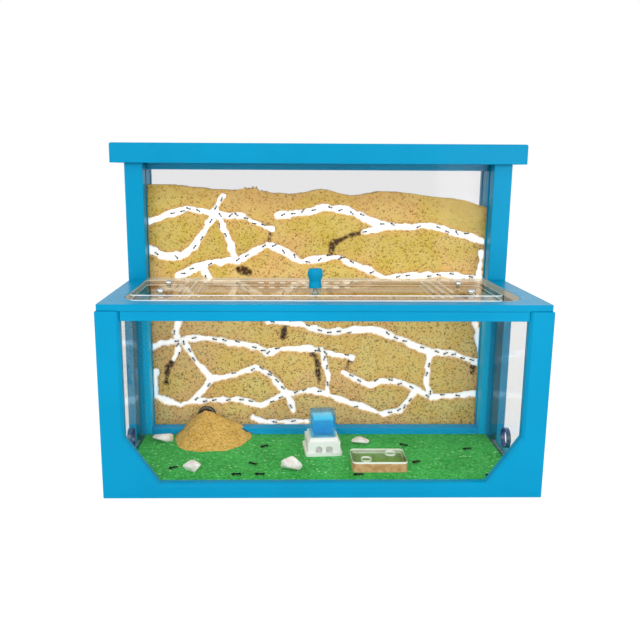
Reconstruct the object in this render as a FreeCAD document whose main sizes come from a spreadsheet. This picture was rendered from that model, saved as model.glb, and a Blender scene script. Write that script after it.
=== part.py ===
import FreeCAD, Part
import math
import os
import re
import Sketcher

# Ant habitat: a glazed arena with a green floor, and behind it a tall flat nest of sand
# between two clear panes. Millimetres, +Z up, the front faces -Y, and the origin lies
# under the middle of the whole object.

SIZES = {
    # Boards of the low box
    "box_width": 300,
    "box_depth": 110,
    "box_height": 130,
    "front_board": 7,
    "side_board": 6,
    "base_board": 3,
    "front_jamb": 16,
    "front_sill": 10.6,
    "gusset_width": 22.2,
    "gusset_height": 32.4,
    "window_chamfer": 2,
    "side_front_jamb": 9,
    "side_rear_jamb": 22,
    "side_sill": 7,
    "side_head": 10,
    # Clear panes of the low box and the tube ports in them
    "box_pane": 3,
    "pane_gap": 0.2,
    "port_bore": 14,
    "port_wall": 0.75,
    "port_proud": 0.2,
    "port_inset": 49.5,
    "port_height": 20.5,
    # Tower
    "tower_height": 225,
    "post_width": 14,
    "rail_depth": 10.5,
    "rail_top": 10,
    "nest_pane": 4,
    "sand_depth": 16,
    "rear_margin": 5.5,
    "groove_depth": 4.5,
    "fit_gap": 0.3,
    "door_bore": 15,
    "door_place": 92,
    "door_height": 16.3,
    "tunnel_width": 4.2,
    "crumb_volume": 60,
    # Tower cap
    "cap_height": 15,
    "cap_side_lip": 10.5,
    "cap_lip": 4,
    "cap_round": 2,
    "cap_edge": 1,
    "tongue_depth": 5,
    # Top frame and the clear top in it
    "top_board": 4.5,
    "top_inset": 1,
    "top_front_band": 13,
    "top_round": 18,
    "apron_height": 6.5,
    "apron_inset": 0.5,
    "hatch_margin": 18.5,
    "hatch_front": 22,
    "hatch_depth": 53,
    "hatch_round": 3,
    # Lid
    "lid_side_lap": 7.5,
    "lid_front_lap": 7.6,
    "lid_rear_lap": 5.9,
    "lid_board": 4,
    "lid_shift": 5,
    "lid_round": 4,
    "vent_width": 1.3,
    "vent_front": 7,
    "vent_inset": 12.7,
    "vent_pitch": 6.4,
    "dash_length": 4,
    "dash_pitch": 8,
    "dash_back": 5,
    "dash_shift": 7,
    "screw_inset": 11.3,
    "screw_front": 6,
    "screw_back": 10,
    "screw_thread": 3,
    "screw_hole": 3.2,
    "screw_head": 5.4,
    "head_height": 2.1,
    "bar_width": 10.5,
    "bar_height": 3,
    "bar_play": 2,
    # Knob
    "knob_foot": 9.5,
    "knob_waist": 8.4,
    "knob_bulb": 11,
    "knob_crown": 9.4,
    "knob_height": 13.4,
    "knob_hole_depth": 8,
    # Floor sand and the heap at the nest's door
    "floor_sand": 2,
    "heap_height": 17.5,
    "heap_width": 62,
    "heap_reach": 39,
    "crater_bore": 10,
    # Drinker
    "drinker_right": 3.1,
    "drinker_back": 75.8,
    "drinker_turn": 4,
    "flange_width": 28.4,
    "flange_height": 2.5,
    "well_width": 25,
    "well_height": 8.5,
    "seat_width": 21.7,
    "seat_height": 2.7,
    "arch_width": 5,
    "arch_height": 3.2,
    "arch_radius": 2.7,
    "arch_pitch": 8,
    "arch_depth": 5,
    "tank_width": 19,
    "tank_height": 17.8,
    "tank_wall": 2,
    "tank_round": 3,
    "neck_bore": 5,
    "neck_wall": 1.2,
    "neck_length": 7,
    "water_level": 12.2,
    # Feeder
    "feeder_right": 43.2,
    "feeder_back": 44.5,
    "feeder_width": 40,
    "feeder_depth": 26,
    "feeder_height": 6.5,
    "feeder_wall": 1.6,
    "feeder_round": 3,
    "cover_board": 1.5,
    "cover_hole": 8,
    "cover_hole_reach": 9.6,
    "cover_hole_step": 5.7,
}

# Places worked out from the sizes, as texts that the document evaluates.
FRONT = "(0 - (box_depth + tower_depth + cap_lip) / 2)"
TOWER_DEPTH = "(rail_depth + 2 * nest_pane + sand_depth + rear_margin)"
FRONT = FRONT.replace("tower_depth", TOWER_DEPTH)
TOWER = "(%s + box_depth)" % FRONT
BACK = "(%s + %s)" % (TOWER, TOWER_DEPTH)
HALF = "(box_width / 2)"
INSIDE = "(box_width / 2 - side_board)"
POST = "(box_width / 2 - post_width)"
NEST_PANE = "(%s + rail_depth)" % TOWER
NEST_SAND = "(%s + nest_pane)" % NEST_PANE
REAR_PANE = "(%s + sand_depth)" % NEST_SAND
REAR_RAIL = "(%s + nest_pane)" % REAR_PANE
GROUND = "(base_board + floor_sand)"
BOX_PANE_TOP = "(box_height - pane_gap)"
LID_BOTTOM = "(box_height + top_board)"
LID_TOP = "(box_height + top_board + lid_board)"
HATCH = "(%s - hatch_margin)" % POST
HATCH_FRONT = "(%s + hatch_front)" % FRONT
HATCH_BACK = "(%s + hatch_depth)" % HATCH_FRONT
LID_X = "(0 - lid_shift)"
LID_HALF = "(%s + lid_side_lap)" % HATCH
LID_FRONT = "(%s - lid_front_lap)" % HATCH_FRONT
LID_BACK = "(%s + lid_rear_lap)" % HATCH_BACK
LID_MIDDLE = "((%s + %s) / 2)" % (LID_FRONT, LID_BACK)
SCREW_REACH = "(%s - screw_inset)" % HATCH

doc = FreeCAD.newDocument("ant_habitat")
sheet = doc.addObject("Spreadsheet::Sheet", "sizes")
for row, (alias, size) in enumerate(SIZES.items(), 1):
    sheet.set("A%d" % row, alias)
    sheet.set("B%d" % row, str(size))
    sheet.setAlias("B%d" % row, alias)
doc.recompute()

pieces = {}


def bound(text):
    """The text with each size's name pointing at its cell of the sheet."""
    return re.sub(r"[a-z_]{3,}", lambda word: "sizes." + word.group(), text)


def number(text):
    """What the text comes to with the sheet's present numbers."""
    return float(sheet.evalExpression(text))


def minus(text):
    return "(0 - %s)" % text


def piece(name, thing):
    thing.Label = name
    pieces[name] = thing
    return thing


def pin(sketch, line, point, across, along):
    """Hold one point of a sketch at a place measured from the sketch's origin."""
    for kind, text in (("DistanceX", across), ("DistanceY", along)):
        rule = Sketcher.Constraint(kind, -1, 1, line, point, number(text))
        at = sketch.addConstraint(rule)
        sketch.setExpression("Constraints[%d]" % at, bound(text))


def bowed(start, end, radius, side):
    """The arc from start to end with this radius, bulging to the right for side 1."""
    chord = end - start
    rise = radius - math.sqrt(max(radius ** 2 - chord.Length ** 2 / 4, 0))
    right = FreeCAD.Vector(chord.y, -chord.x, 0).normalize()
    middle = (start + end) / 2 + right * rise * side
    return Part.Arc(start, middle, end)


def draw(body, plane, offset, loops, circles=()):
    """A sketch on one of the body's own planes, moved along that plane's normal.

    A corner is (across, along), or (across, along, radius, side) where the way to
    the next corner is an arc. A circle is (across, along, radius).
    """
    base = [face for face in body.Origin.OriginFeatures if face.Role == plane][0]
    sketch = body.newObject("Sketcher::SketchObject", body.Name + "_sketch")
    sketch.AttachmentSupport = (base, [""])
    sketch.MapMode = "FlatFace"
    sketch.setExpression("AttachmentOffset.Base.z", bound(offset))
    for corners in loops:
        first = sketch.GeometryCount
        places = [FreeCAD.Vector(number(c[0]), number(c[1]), 0) for c in corners]
        for corner, start, end in zip(corners, places, places[1:] + places[:1]):
            if len(corner) == 4:
                sketch.addGeometry(bowed(start, end, number(corner[2]), corner[3]))
            else:
                sketch.addGeometry(Part.LineSegment(start, end))
        add_rules(sketch, first, corners)
    for across, along, radius in circles:
        centre = FreeCAD.Vector(number(across), number(along), 0)
        ring = Part.Circle(centre, FreeCAD.Vector(0, 0, 1), number(radius))
        line = sketch.addGeometry(ring)
        pin(sketch, line, 3, across, along)
        hold_radius(sketch, line, radius)
    return sketch


def hold_radius(sketch, line, radius):
    at = sketch.addConstraint(Sketcher.Constraint("Radius", line, number(radius)))
    sketch.setExpression("Constraints[%d]" % at, bound(radius))


def ends(sketch, line):
    """A line's start and end, which an arc may have the other way round."""
    return sketch.Geometry[line].StartPoint, sketch.Geometry[line].EndPoint


def add_rules(sketch, first, corners):
    """Join the lines of one loop end to end, pin its corners and hold its radii."""
    count = len(corners)
    for step, corner in enumerate(corners):
        line = first + step
        after = first + (step + 1) % count
        start, end = ends(sketch, line)
        place = FreeCAD.Vector(number(corner[0]), number(corner[1]), 0)
        leaving = 1 if start.distanceToPoint(place) < end.distanceToPoint(place) else 2
        arriving = 3 - leaving
        goal = corners[(step + 1) % count]
        target = FreeCAD.Vector(number(goal[0]), number(goal[1]), 0)
        next_start = ends(sketch, after)[0]
        entry = 1 if next_start.distanceToPoint(target) < 0.000001 else 2
        sketch.addConstraint(Sketcher.Constraint("Coincident", line, arriving, after, entry))
        pin(sketch, line, leaving, corner[0], corner[1])
        if len(corner) == 4:
            hold_radius(sketch, line, corner[2])


def add_pad(body, plane, start, thick, loops, circles=()):
    """Pad an outline from start to start + thick along the plane's own axis."""
    facing_back = plane == "XZ_Plane"
    offset = minus(start) if facing_back else start
    sketch = draw(body, plane, offset, loops, circles)
    pad = body.newObject("PartDesign::Pad", body.Name + "_pad")
    pad.Profile = sketch
    pad.Reversed = facing_back
    pad.setExpression("Length", bound(thick))
    doc.recompute()
    return pad


def add_pocket(body, plane, start, deep, loops, circles=()):
    """Cut an outline away from start to start + deep along the plane's own axis."""
    before = body.Shape.Volume
    facing_back = plane == "XZ_Plane"
    offset = minus(start) if facing_back else start
    sketch = draw(body, plane, offset, loops, circles)
    pocket = body.newObject("PartDesign::Pocket", body.Name + "_pocket")
    pocket.Profile = sketch
    pocket.Reversed = not facing_back
    pocket.setExpression("Length", bound(deep))
    doc.recompute()
    if not body.Shape.Volume < before:
        raise RuntimeError("a pocket of %s cuts nothing" % body.Label)
    return pocket


def board(name, plane, start, thick, loops, circles=()):
    """A flat board or pane: one outline, padded by its thickness."""
    body = piece(name, doc.addObject("PartDesign::Body", name))
    add_pad(body, plane, start, thick, loops, circles)
    return body


def dress(body, kind, size, wanted):
    """A Fillet or Chamfer on the edges of the body that are wanted."""
    base = body.Tip
    names = []
    for count, edge in enumerate(base.Shape.Edges, 1):
        if wanted(edge):
            names.append("Edge%d" % count)
    if not names:
        raise RuntimeError("no edges to dress on %s" % body.Label)
    feature = body.newObject("PartDesign::" + kind, body.Name + "_" + kind.lower())
    feature.Base = (base, names)
    feature.setExpression("Radius" if kind == "Fillet" else "Size", bound(size))
    doc.recompute()
    return feature


def spin(name, profile):
    """A turned piece: a profile of (radius, height) spun round the upright axis."""
    body = piece(name, doc.addObject("PartDesign::Body", name))
    sketch = draw(body, "XZ_Plane", "0", [profile])
    turned = body.newObject("PartDesign::Revolution", name + "_turned")
    turned.Profile = sketch
    turned.ReferenceAxis = (sketch, ["V_Axis"])
    turned.Angle = 360
    doc.recompute()
    return body


def put(thing, across, back, up, turn=None):
    """Place a piece that was modelled round its own middle."""
    for axis, text in (("x", across), ("y", back), ("z", up)):
        thing.setExpression("Placement.Base." + axis, bound(text))
    if turn:
        thing.Placement.Rotation = FreeCAD.Rotation(FreeCAD.Vector(0, 0, 1), 1)
        thing.setExpression("Placement.Rotation.Angle", bound(turn))


def bar(name, low, high):
    """A plain sawn bar or pane between two opposite corners."""
    thing = piece(name, doc.addObject("Part::Box", name))
    for side, axis, start, end in zip(("Length", "Width", "Height"), "xyz", low, high):
        thing.setExpression(side, bound("(%s) - (%s)" % (end, start)))
        thing.setExpression("Placement.Base." + axis, bound(start))
    return thing


def mirrored(name, source):
    """The left-hand twin of a right-hand piece."""
    thing = piece(name, doc.addObject("Part::Mirroring", name))
    thing.Source = source
    thing.Normal = FreeCAD.Vector(1, 0, 0)
    return thing


def rectangle(left, front, right, back):
    return [(left, front), (right, front), (right, back), (left, back)]


def centred(width, depth=None):
    """A rectangle round the origin."""
    depth = depth or width
    across = "(%s / 2)" % width
    along = "(%s / 2)" % depth
    return rectangle(minus(across), minus(along), across, along)


def upright(edge):
    """Whether an edge runs straight up."""
    if len(edge.Vertexes) != 2:
        return False
    start = edge.Vertexes[0].Point
    end = edge.Vertexes[1].Point
    level = math.hypot(start.x - end.x, start.y - end.y)
    return level < 0.001 < abs(start.z - end.z)


def make_base():
    front = "(%s + front_board)" % FRONT
    corners = [
        (minus(INSIDE), front),
        (INSIDE, front),
        (INSIDE, TOWER),
        (POST, TOWER),
        (POST, BACK),
        (minus(POST), BACK),
        (minus(POST), TOWER),
        (minus(INSIDE), TOWER),
    ]
    board("base_plate", "XY_Plane", "0", "base_board", [corners])


def make_front_frame():
    """One board, open at the top, with a gusset in each lower corner of its window."""
    jamb = "(box_width / 2 - front_jamb)"
    gusset = "(%s - gusset_width)" % jamb
    gusset_top = "(front_sill + gusset_height)"
    corners = [
        (minus(HALF), "0"),
        (HALF, "0"),
        (HALF, "box_height"),
        (jamb, "box_height"),
        (jamb, gusset_top),
        (gusset, "front_sill"),
        (minus(gusset), "front_sill"),
        (minus(jamb), gusset_top),
        (minus(jamb), "box_height"),
        (minus(HALF), "box_height"),
    ]
    body = board("front_frame", "XZ_Plane", FRONT, "front_board", [corners])
    face = number(FRONT)
    reach = number(jamb)
    sill = number("front_sill")

    def round_window(edge):
        points = [vertex.Point for vertex in edge.Vertexes]
        on_face = all(abs(p.y - face) < 0.001 for p in points)
        return on_face and all(abs(p.x) < reach + 0.001 and p.z > sill - 0.001 for p in points)

    dress(body, "Chamfer", "window_chamfer", round_window)


def make_side_frames():
    front = "(%s + front_board)" % FRONT
    outer = rectangle(front, "0", TOWER, "box_height")
    window = rectangle(
        "(%s + side_front_jamb)" % front,
        "side_sill",
        "(%s - side_rear_jamb)" % TOWER,
        "(box_height - side_head)",
    )
    right = board("right_side_frame", "YZ_Plane", INSIDE, "side_board", [outer, window])
    mirrored("left_side_frame", right)


def make_box_panes():
    front = "(%s + front_board)" % FRONT
    behind = "(%s + box_pane)" % front
    inner = "(%s - box_pane)" % INSIDE
    bar("front_pane", (minus(INSIDE), front, "base_board"), (INSIDE, behind, BOX_PANE_TOP))
    port = ("(%s - port_inset)" % TOWER, "port_height", "(port_bore / 2 + port_wall)")
    outline = rectangle(behind, "base_board", TOWER, BOX_PANE_TOP)
    right = board("right_side_pane", "YZ_Plane", inner, "box_pane", [outline], [port])
    mirrored("left_side_pane", right)


def make_port_bushes():
    """A liner in each side pane, where a tube plugs in."""
    start = "(%s - box_pane - port_proud)" % INSIDE
    middle = "(%s - port_inset)" % TOWER
    rings = [
        (middle, "port_height", "(port_bore / 2 + port_wall)"),
        (middle, "port_height", "(port_bore / 2)"),
    ]
    length = "(box_pane + 2 * port_proud)"
    right = board("right_port_bush", "YZ_Plane", start, length, [], rings)
    mirrored("left_port_bush", right)


def make_posts():
    """Each post has an upright groove for each of the two nest panes."""
    groove = "(%s + groove_depth)" % POST
    corners = [
        (POST, TOWER),
        (HALF, TOWER),
        (HALF, BACK),
        (POST, BACK),
        (POST, REAR_RAIL),
        (groove, REAR_RAIL),
        (groove, REAR_PANE),
        (POST, REAR_PANE),
        (POST, NEST_SAND),
        (groove, NEST_SAND),
        (groove, NEST_PANE),
        (POST, NEST_PANE),
    ]
    right = board("right_tower_post", "XY_Plane", "0", "tower_height", [corners])
    mirrored("left_tower_post", right)


def make_nest_frame():
    """The rails at the foot of the nest and the panes that stand in the grooves."""
    reach = "(%s + groove_depth - fit_gap)" % POST
    bar("nest_front_rail", (minus(POST), TOWER, "base_board"), (POST, NEST_PANE, "rail_top"))
    bar("nest_rear_rail", (minus(POST), REAR_RAIL, "base_board"), (POST, BACK, "rail_top"))
    outline = rectangle(minus(reach), "base_board", reach, "tower_height")
    door = (minus("door_place"), "door_height", "(door_bore / 2)")
    board("nest_front_pane", "XZ_Plane", NEST_PANE, "nest_pane", [outline], [door])
    bar("nest_rear_pane", (minus(reach), REAR_PANE, "base_board"),
        (reach, REAR_RAIL, "tower_height"))


# The dune-like top of the nest's sand: (across from the middle, height).
DUNE = [(-98, 203), (-60, 201), (-47, 206), (-37, 201.5), (4, 206), (29, 200), (54, 205), (92, 197)]
DUNE_LEFT = 208
DUNE_RIGHT = 192.5

# The ants' tunnels in the sand, each a route of (across, height) with its width as
# a share of the usual tunnel.
TUNNELS = [
    (1.0, [(-136, 179), (-122, 184), (-104, 190), (-84, 186), (-76, 200)]),
    (0.9, [(-77, 184), (-65, 185), (-53, 180), (-37, 173)]),
    (1.2, [(-82, 185), (-99, 160), (-109, 151), (-124, 152), (-136, 157)]),
    (1.1, [(-80, 185), (-72, 166), (-65, 147)]),
    (1.1, [(-65, 148), (-84, 147), (-98, 142), (-114, 134)]),
    (0.9, [(-92, 143), (-91, 138), (-87, 133)]),
    (1.0, [(-65, 148), (-41, 161), (-26, 155), (-14, 147), (0, 149), (18, 151), (35, 143),
           (56, 134), (76, 136), (103, 137), (134, 134)]),
    (0.9, [(-33, 184), (-12, 187), (4, 191), (24, 189), (48, 178), (75, 175), (91, 177),
           (123, 168), (136, 163)]),
    (0.8, [(64, 176), (36, 171), (22, 167), (13, 161), (11, 152)]),
    (1.0, [(134, 155), (132, 135), (130, 118), (132, 96), (137, 76), (141, 61)]),
    (1.1, [(-136, 75), (-128, 79), (-113, 80), (-108, 83), (-89, 83), (-73, 80), (-55, 77),
           (-41, 71), (-26, 74), (-6, 75), (16, 69), (30, 67)]),
    (0.9, [(-114, 97), (-116, 88), (-114, 80)]),
    (0.9, [(-114, 80), (-116, 70), (-121, 62)]),
    (1.1, [(-110, 79), (-100, 63), (-88, 49), (-78, 49), (-51, 58), (-39, 52), (-24, 35),
           (-19, 20)]),
    (1.2, [(-134, 54), (-135, 33), (-126, 29), (-114, 25), (-102, 30), (-88, 48)]),
    (1.0, [(-101, 29), (-78, 30), (-63, 30), (-47, 25), (-24, 35), (-1, 38), (37, 25),
           (57, 17), (72, 21), (84, 37)]),
    (1.0, [(4, 74), (10, 52), (10, 36)]),
    (1.0, [(-40, 98), (-15, 96), (-4, 92), (10, 88), (28, 90), (46, 91), (61, 86), (95, 71),
           (113, 70), (141, 61)]),
    (1.0, [(95, 71), (93, 47), (98, 31)]),
    (1.0, [(23, 54), (44, 43), (59, 47), (77, 43), (98, 32), (115, 33), (137, 35)]),
    (0.9, [(-53, 14), (-42, 10), (-6, 11)]),
    (1.2, [(-92, 17), (-98, 22), (-101, 29)]),
]


def tunnel(width, route):
    """A face round a route, with round turns and ends."""
    wire = Part.makePolygon([FreeCAD.Vector(across, 0, height) for across, height in route])
    return Part.Face(wire.makeOffset2D(width / 2, 0, False, False, False))


def make_nest_sand():
    """The sand between the panes, with its tunnels cut right through it."""
    reach = number(POST)
    floor = number("base_board")
    near = number(NEST_SAND)
    deep = FreeCAD.Vector(0, number("sand_depth"), 0)
    places = [(-reach, DUNE_LEFT)] + [p for p in DUNE if abs(p[0]) < reach - 5]
    places = places + [(reach, DUNE_RIGHT)]
    dune = Part.BSplineCurve()
    dune.interpolate([FreeCAD.Vector(across, near, height) for across, height in places])
    corners = [
        FreeCAD.Vector(reach, near, DUNE_RIGHT),
        FreeCAD.Vector(reach, near, floor),
        FreeCAD.Vector(-reach, near, floor),
        FreeCAD.Vector(-reach, near, DUNE_LEFT),
    ]
    wire = Part.Wire([dune.toShape()] + Part.makePolygon(corners).Edges)
    slab = Part.Face(wire).extrude(deep)
    cuts = []
    for share, route in TUNNELS:
        face = tunnel(share * number("tunnel_width"), route)
        face.translate(FreeCAD.Vector(0, near, 0))
        cuts.append(face.extrude(deep))
    door = FreeCAD.Vector(-number("door_place"), near, number("door_height"))
    room = Part.makeCylinder(number("door_bore") / 2, deep.y, door, FreeCAD.Vector(0, 1, 0))
    dug = slab.cut(cuts + [room])
    lumps = [lump for lump in dug.Solids if lump.Volume > number("crumb_volume")]
    thing = piece("nest_sand", doc.addObject("Part::Feature", "nest_sand"))
    thing.Shape = Part.makeCompound(lumps)


def make_cap():
    left = "(0 - %s - cap_side_lip)" % HALF
    right = "(%s + cap_side_lip)" % HALF
    plan = rectangle(left, "(%s - cap_lip)" % TOWER, right, "(%s + cap_lip)" % BACK)
    body = board("tower_cap", "XY_Plane", "tower_height", "cap_height", [plan])
    dress(body, "Fillet", "cap_round", upright)
    top = number("tower_height + cap_height")

    def top_rim(edge):
        return all(abs(vertex.Point.z - top) < 0.001 for vertex in edge.Vertexes)

    dress(body, "Chamfer", "cap_edge", top_rim)
    tongue = rectangle(
        "(0 - %s + fit_gap)" % POST,
        "(%s + fit_gap)" % NEST_SAND,
        "(%s - fit_gap)" % POST,
        "(%s - fit_gap)" % REAR_PANE,
    )
    add_pad(body, "XY_Plane", "(tower_height - tongue_depth)", "tongue_depth", [tongue])


def front_inner_corner(edge, across, along):
    """Whether an upright edge stands at this place or at its mirror image."""
    if not upright(edge):
        return False
    point = edge.Vertexes[0].Point
    return abs(abs(point.x) - across) < 0.01 and abs(point.y - along) < 0.01


def make_top_frame():
    """A board open towards the tower, with an apron that drops between the front jambs."""
    edge = "(box_width / 2 - top_inset)"
    front = "(%s + top_inset)" % FRONT
    back = "(%s - fit_gap)" % TOWER
    band = "(%s + top_front_band)" % front
    corners = [
        (minus(edge), front),
        (edge, front),
        (edge, back),
        (POST, back),
        (POST, band),
        (minus(POST), band),
        (minus(POST), back),
        (minus(edge), back),
    ]
    body = board("top_frame", "XY_Plane", "box_height", "top_board", [corners])
    across = number(POST)
    along = number(band)
    dress(body, "Fillet", "top_round", lambda e: front_inner_corner(e, across, along))
    reach = "(box_width / 2 - front_jamb - fit_gap)"
    apron = rectangle(
        minus(reach),
        "(%s + apron_inset)" % FRONT,
        reach,
        "(%s + front_board - fit_gap)" % FRONT,
    )
    add_pad(body, "XY_Plane", "(box_height - apron_height)", "apron_height", [apron])


def make_top_pane():
    """The clear top, flush in the top frame, with the hatch that the lid covers."""
    side = "(%s - fit_gap)" % POST
    front = "(%s + top_inset + top_front_band + fit_gap)" % FRONT
    outline = rectangle(minus(side), front, side, "(%s - fit_gap)" % NEST_PANE)
    hatch = rectangle(minus(HATCH), HATCH_FRONT, HATCH, HATCH_BACK)
    body = board("top_pane", "XY_Plane", "box_height", "top_board", [outline, hatch])
    across = number(side)
    along = number(front)
    dress(body, "Fillet", "top_round", lambda e: front_inner_corner(e, across, along))
    hatch_edge = number(HATCH)

    def hatch_corner(edge):
        return upright(edge) and abs(abs(edge.Vertexes[0].Point.x) - hatch_edge) < 0.01

    dress(body, "Fillet", "hatch_round", hatch_corner)


def vent(across, front, width, back):
    """One sawn slot of the lid, given by its middle line and its two ends."""
    left = "(%s - %s / 2)" % (across, width)
    right = "(%s + %s / 2)" % (across, width)
    return rectangle(left, front, right, back)


def screw_places():
    places = []
    for side in ("-", "+"):
        across = "(%s %s %s)" % (LID_X, side, SCREW_REACH)
        places.append((across, "(%s + screw_front)" % HATCH_FRONT))
        places.append((across, "(%s - screw_back)" % HATCH_BACK))
    return places


def make_lid():
    left = "(%s - %s)" % (LID_X, LID_HALF)
    right = "(%s + %s)" % (LID_X, LID_HALF)
    plan = rectangle(left, LID_FRONT, right, LID_BACK)
    slots = []
    for side in ("-", "+"):
        for step in range(3):
            reach = "(%s - vent_inset - %d * vent_pitch)" % (SCREW_REACH, step)
            across = "(%s %s %s)" % (LID_X, side, reach)
            front = "(%s + vent_front)" % HATCH_FRONT
            slots.append(vent(across, front, "vent_width", HATCH_BACK))
    for step in range(9):
        across = "(%s - dash_shift + %d * dash_pitch)" % (LID_X, step - 4)
        front = "(%s - dash_back - vent_width / 2)" % HATCH_BACK
        slots.append(vent(across, front, "dash_length", "(%s + vent_width)" % front))
    holes = [(x, y, "(screw_hole / 2)") for x, y in screw_places()]
    holes.append((LID_X, LID_MIDDLE, "(screw_hole / 2)"))
    body = board("lid_plate", "XY_Plane", LID_BOTTOM, "lid_board", [plan] + slots, holes)
    edge = number(LID_HALF)
    middle = number(LID_X)

    def outer_corner(e):
        return upright(e) and abs(abs(e.Vertexes[0].Point.x - middle) - edge) < 0.01

    dress(body, "Fillet", "lid_round", outer_corner)


def make_locating_bars():
    """Bars under the lid that the screws hold, and that drop into the hatch."""
    places = screw_places()
    for name, pair in (("left_locating_bar", places[:2]), ("right_locating_bar", places[2:])):
        across = pair[0][0]
        outline = rectangle(
            "(%s - bar_width / 2)" % across,
            "(%s + bar_play)" % HATCH_FRONT,
            "(%s + bar_width / 2)" % across,
            "(%s - bar_play)" % HATCH_BACK,
        )
        holes = [(x, y, "(screw_hole / 2)") for x, y in pair]
        start = "(%s - bar_height)" % LID_BOTTOM
        board(name, "XY_Plane", start, "bar_height", [outline], holes)


def screw_profile(length):
    """A button-head screw, its head above the plane and its shank below it."""
    head = "(screw_head / 2)"
    shank = "(screw_thread / 2)"
    return [
        ("0", minus(length)),
        (shank, minus(length)),
        (shank, "0"),
        (head, "0"),
        (head, "(head_height * 0.35)"),
        ("(screw_head * 0.4)", "(head_height * 0.8)"),
        ("(screw_head * 0.25)", "head_height"),
        ("0", "head_height"),
    ]


def make_lid_screws():
    source = spin("screw_form", screw_profile("(lid_board + bar_height - fit_gap)"))
    del pieces["screw_form"]
    group = piece("lid_screws", doc.addObject("Part::Compound", "lid_screws"))
    copies = []
    for count, (across, along) in enumerate(screw_places()):
        copy = doc.addObject("Part::Compound", "lid_screw_%d" % count)
        copy.Links = [source]
        put(copy, across, along, LID_TOP)
        copies.append(copy)
    group.Links = copies


def make_knob():
    """A turned knob with a round bulb over a waist, and a blind hole for its screw."""
    hole = "(screw_hole / 2)"
    profile = [
        (hole, "0"),
        ("(knob_foot / 2)", "0"),
        ("(knob_foot / 2)", "(knob_height * 0.08)"),
        ("(knob_waist / 2 + knob_height * 0.01)", "(knob_height * 0.2)"),
        ("(knob_waist / 2)", "(knob_height * 0.32)"),
        ("(knob_bulb * 0.46)", "(knob_height * 0.48)"),
        ("(knob_bulb / 2)", "(knob_height * 0.62)"),
        ("(knob_bulb / 2)", "(knob_height * 0.75)"),
        ("(knob_crown / 2)", "(knob_height * 0.97)"),
        ("(knob_crown / 2 - knob_height * 0.03)", "knob_height"),
        ("0", "knob_height"),
        ("0", "knob_hole_depth"),
        (hole, "knob_hole_depth"),
    ]
    put(spin("knob", profile), LID_X, LID_MIDDLE, LID_TOP)
    screw = spin("knob_screw", screw_profile("(lid_board + knob_hole_depth - 1)"))
    put(screw, LID_X, LID_MIDDLE, LID_BOTTOM)
    screw.Placement.Rotation = FreeCAD.Rotation(FreeCAD.Vector(1, 0, 0), 180)


def make_floor():
    front = "(%s + front_board + box_pane)" % FRONT
    side = "(%s - box_pane)" % INSIDE
    bar("floor_sand", (minus(side), front, "base_board"), (side, TOWER, GROUND))


def ring(middle, half_width, half_depth, height, sides, wobble, turn):
    """A closed uneven ring: an ellipse whose radius swells and shrinks three times."""
    points = []
    for step in range(sides):
        angle = 2 * math.pi * step / sides
        swell = 1 + wobble * math.cos(3 * angle + turn)
        across = middle[0] + half_width * swell * math.cos(angle)
        along = middle[1] + half_depth * swell * math.sin(angle)
        points.append(FreeCAD.Vector(across, along, height))
    return Part.makePolygon(points + points[:1])


def make_heap():
    """Sand that the ants pushed out, heaped against the nest's door, with a crater."""
    door = -number("door_place")
    ground = number(GROUND)
    wall = number(NEST_PANE)
    front = number(TOWER) - number("heap_reach")
    half = number("heap_width") / 2
    high = number("heap_height")
    # Each level: height, half width and depth as shares, and how far it leans right.
    levels = [(0, 1, 1, 8), (0.3, 0.76, 0.72, 6), (0.7, 0.42, 0.42, 3), (1, 0.2, 0.2, 0.5)]
    crest = wall - number("crater_bore") * 0.9
    reach = crest - front
    rings = []
    for up, wide, deep, lean in levels:
        middle = (door + lean, crest - reach * 0.12 * (1 - up))
        rings.append(ring(middle, half * wide, reach * deep * (1 - 0.1 * (1 - up)),
                          ground + high * up, 14, 0.05, up))
    heap = Part.makeLoft(rings, True, True)
    wide = number("box_width")
    corner = FreeCAD.Vector(-wide / 2, wall, 0)
    behind = Part.makeBox(wide, wide, wide, corner)
    rail = Part.makeBox(wide, wide, number("rail_top"), FreeCAD.Vector(-wide / 2, number(TOWER), 0))
    bore = number("crater_bore") / 2
    mouth = FreeCAD.Vector(door, wall - bore * 0.8, number("door_height") - bore)
    crater = Part.makeCylinder(bore, wide, mouth)
    thing = piece("sand_mound", doc.addObject("Part::Feature", "sand_mound"))
    thing.Shape = heap.cut([behind, rail, crater])


# Each stone: name, place across, place along, width, depth, height, turn.
STONES = [
    ("left_rear_pebble", "(19 - %s)" % INSIDE, "(%s - 15)" % TOWER, 16.5, 13, 6.5, 0.4),
    ("left_front_pebble", "(50 - %s)" % INSIDE, "(%s + 38)" % FRONT, 13.5, 11, 6.5, 1.9),
    ("middle_pebble", "(0 - 20.7)", "(%s + 38)" % FRONT, 16, 12, 10, 3.2),
    ("rear_pebble", "(34.5)", "(%s - 20)" % TOWER, 14.3, 12, 4.5, 4.4),
]


def make_stones():
    ground = number(GROUND)
    for name, across, along, width, depth, height, turn in STONES:
        middle = (number(across), number(along))
        rings = []
        for up, share in ((0, 0.84), (0.3, 1.0), (0.72, 0.8), (1, 0.42)):
            rings.append(ring(middle, width / 2 * share, depth / 2 * share,
                              ground + height * up, 10, 0.07, turn + up))
        thing = piece(name, doc.addObject("Part::Feature", name))
        thing.Shape = Part.makeLoft(rings, True, True)


def place_drinker(thing, up):
    back = "(%s + drinker_back)" % FRONT
    put(thing, "drinker_right", back, up, "drinker_turn")


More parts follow.
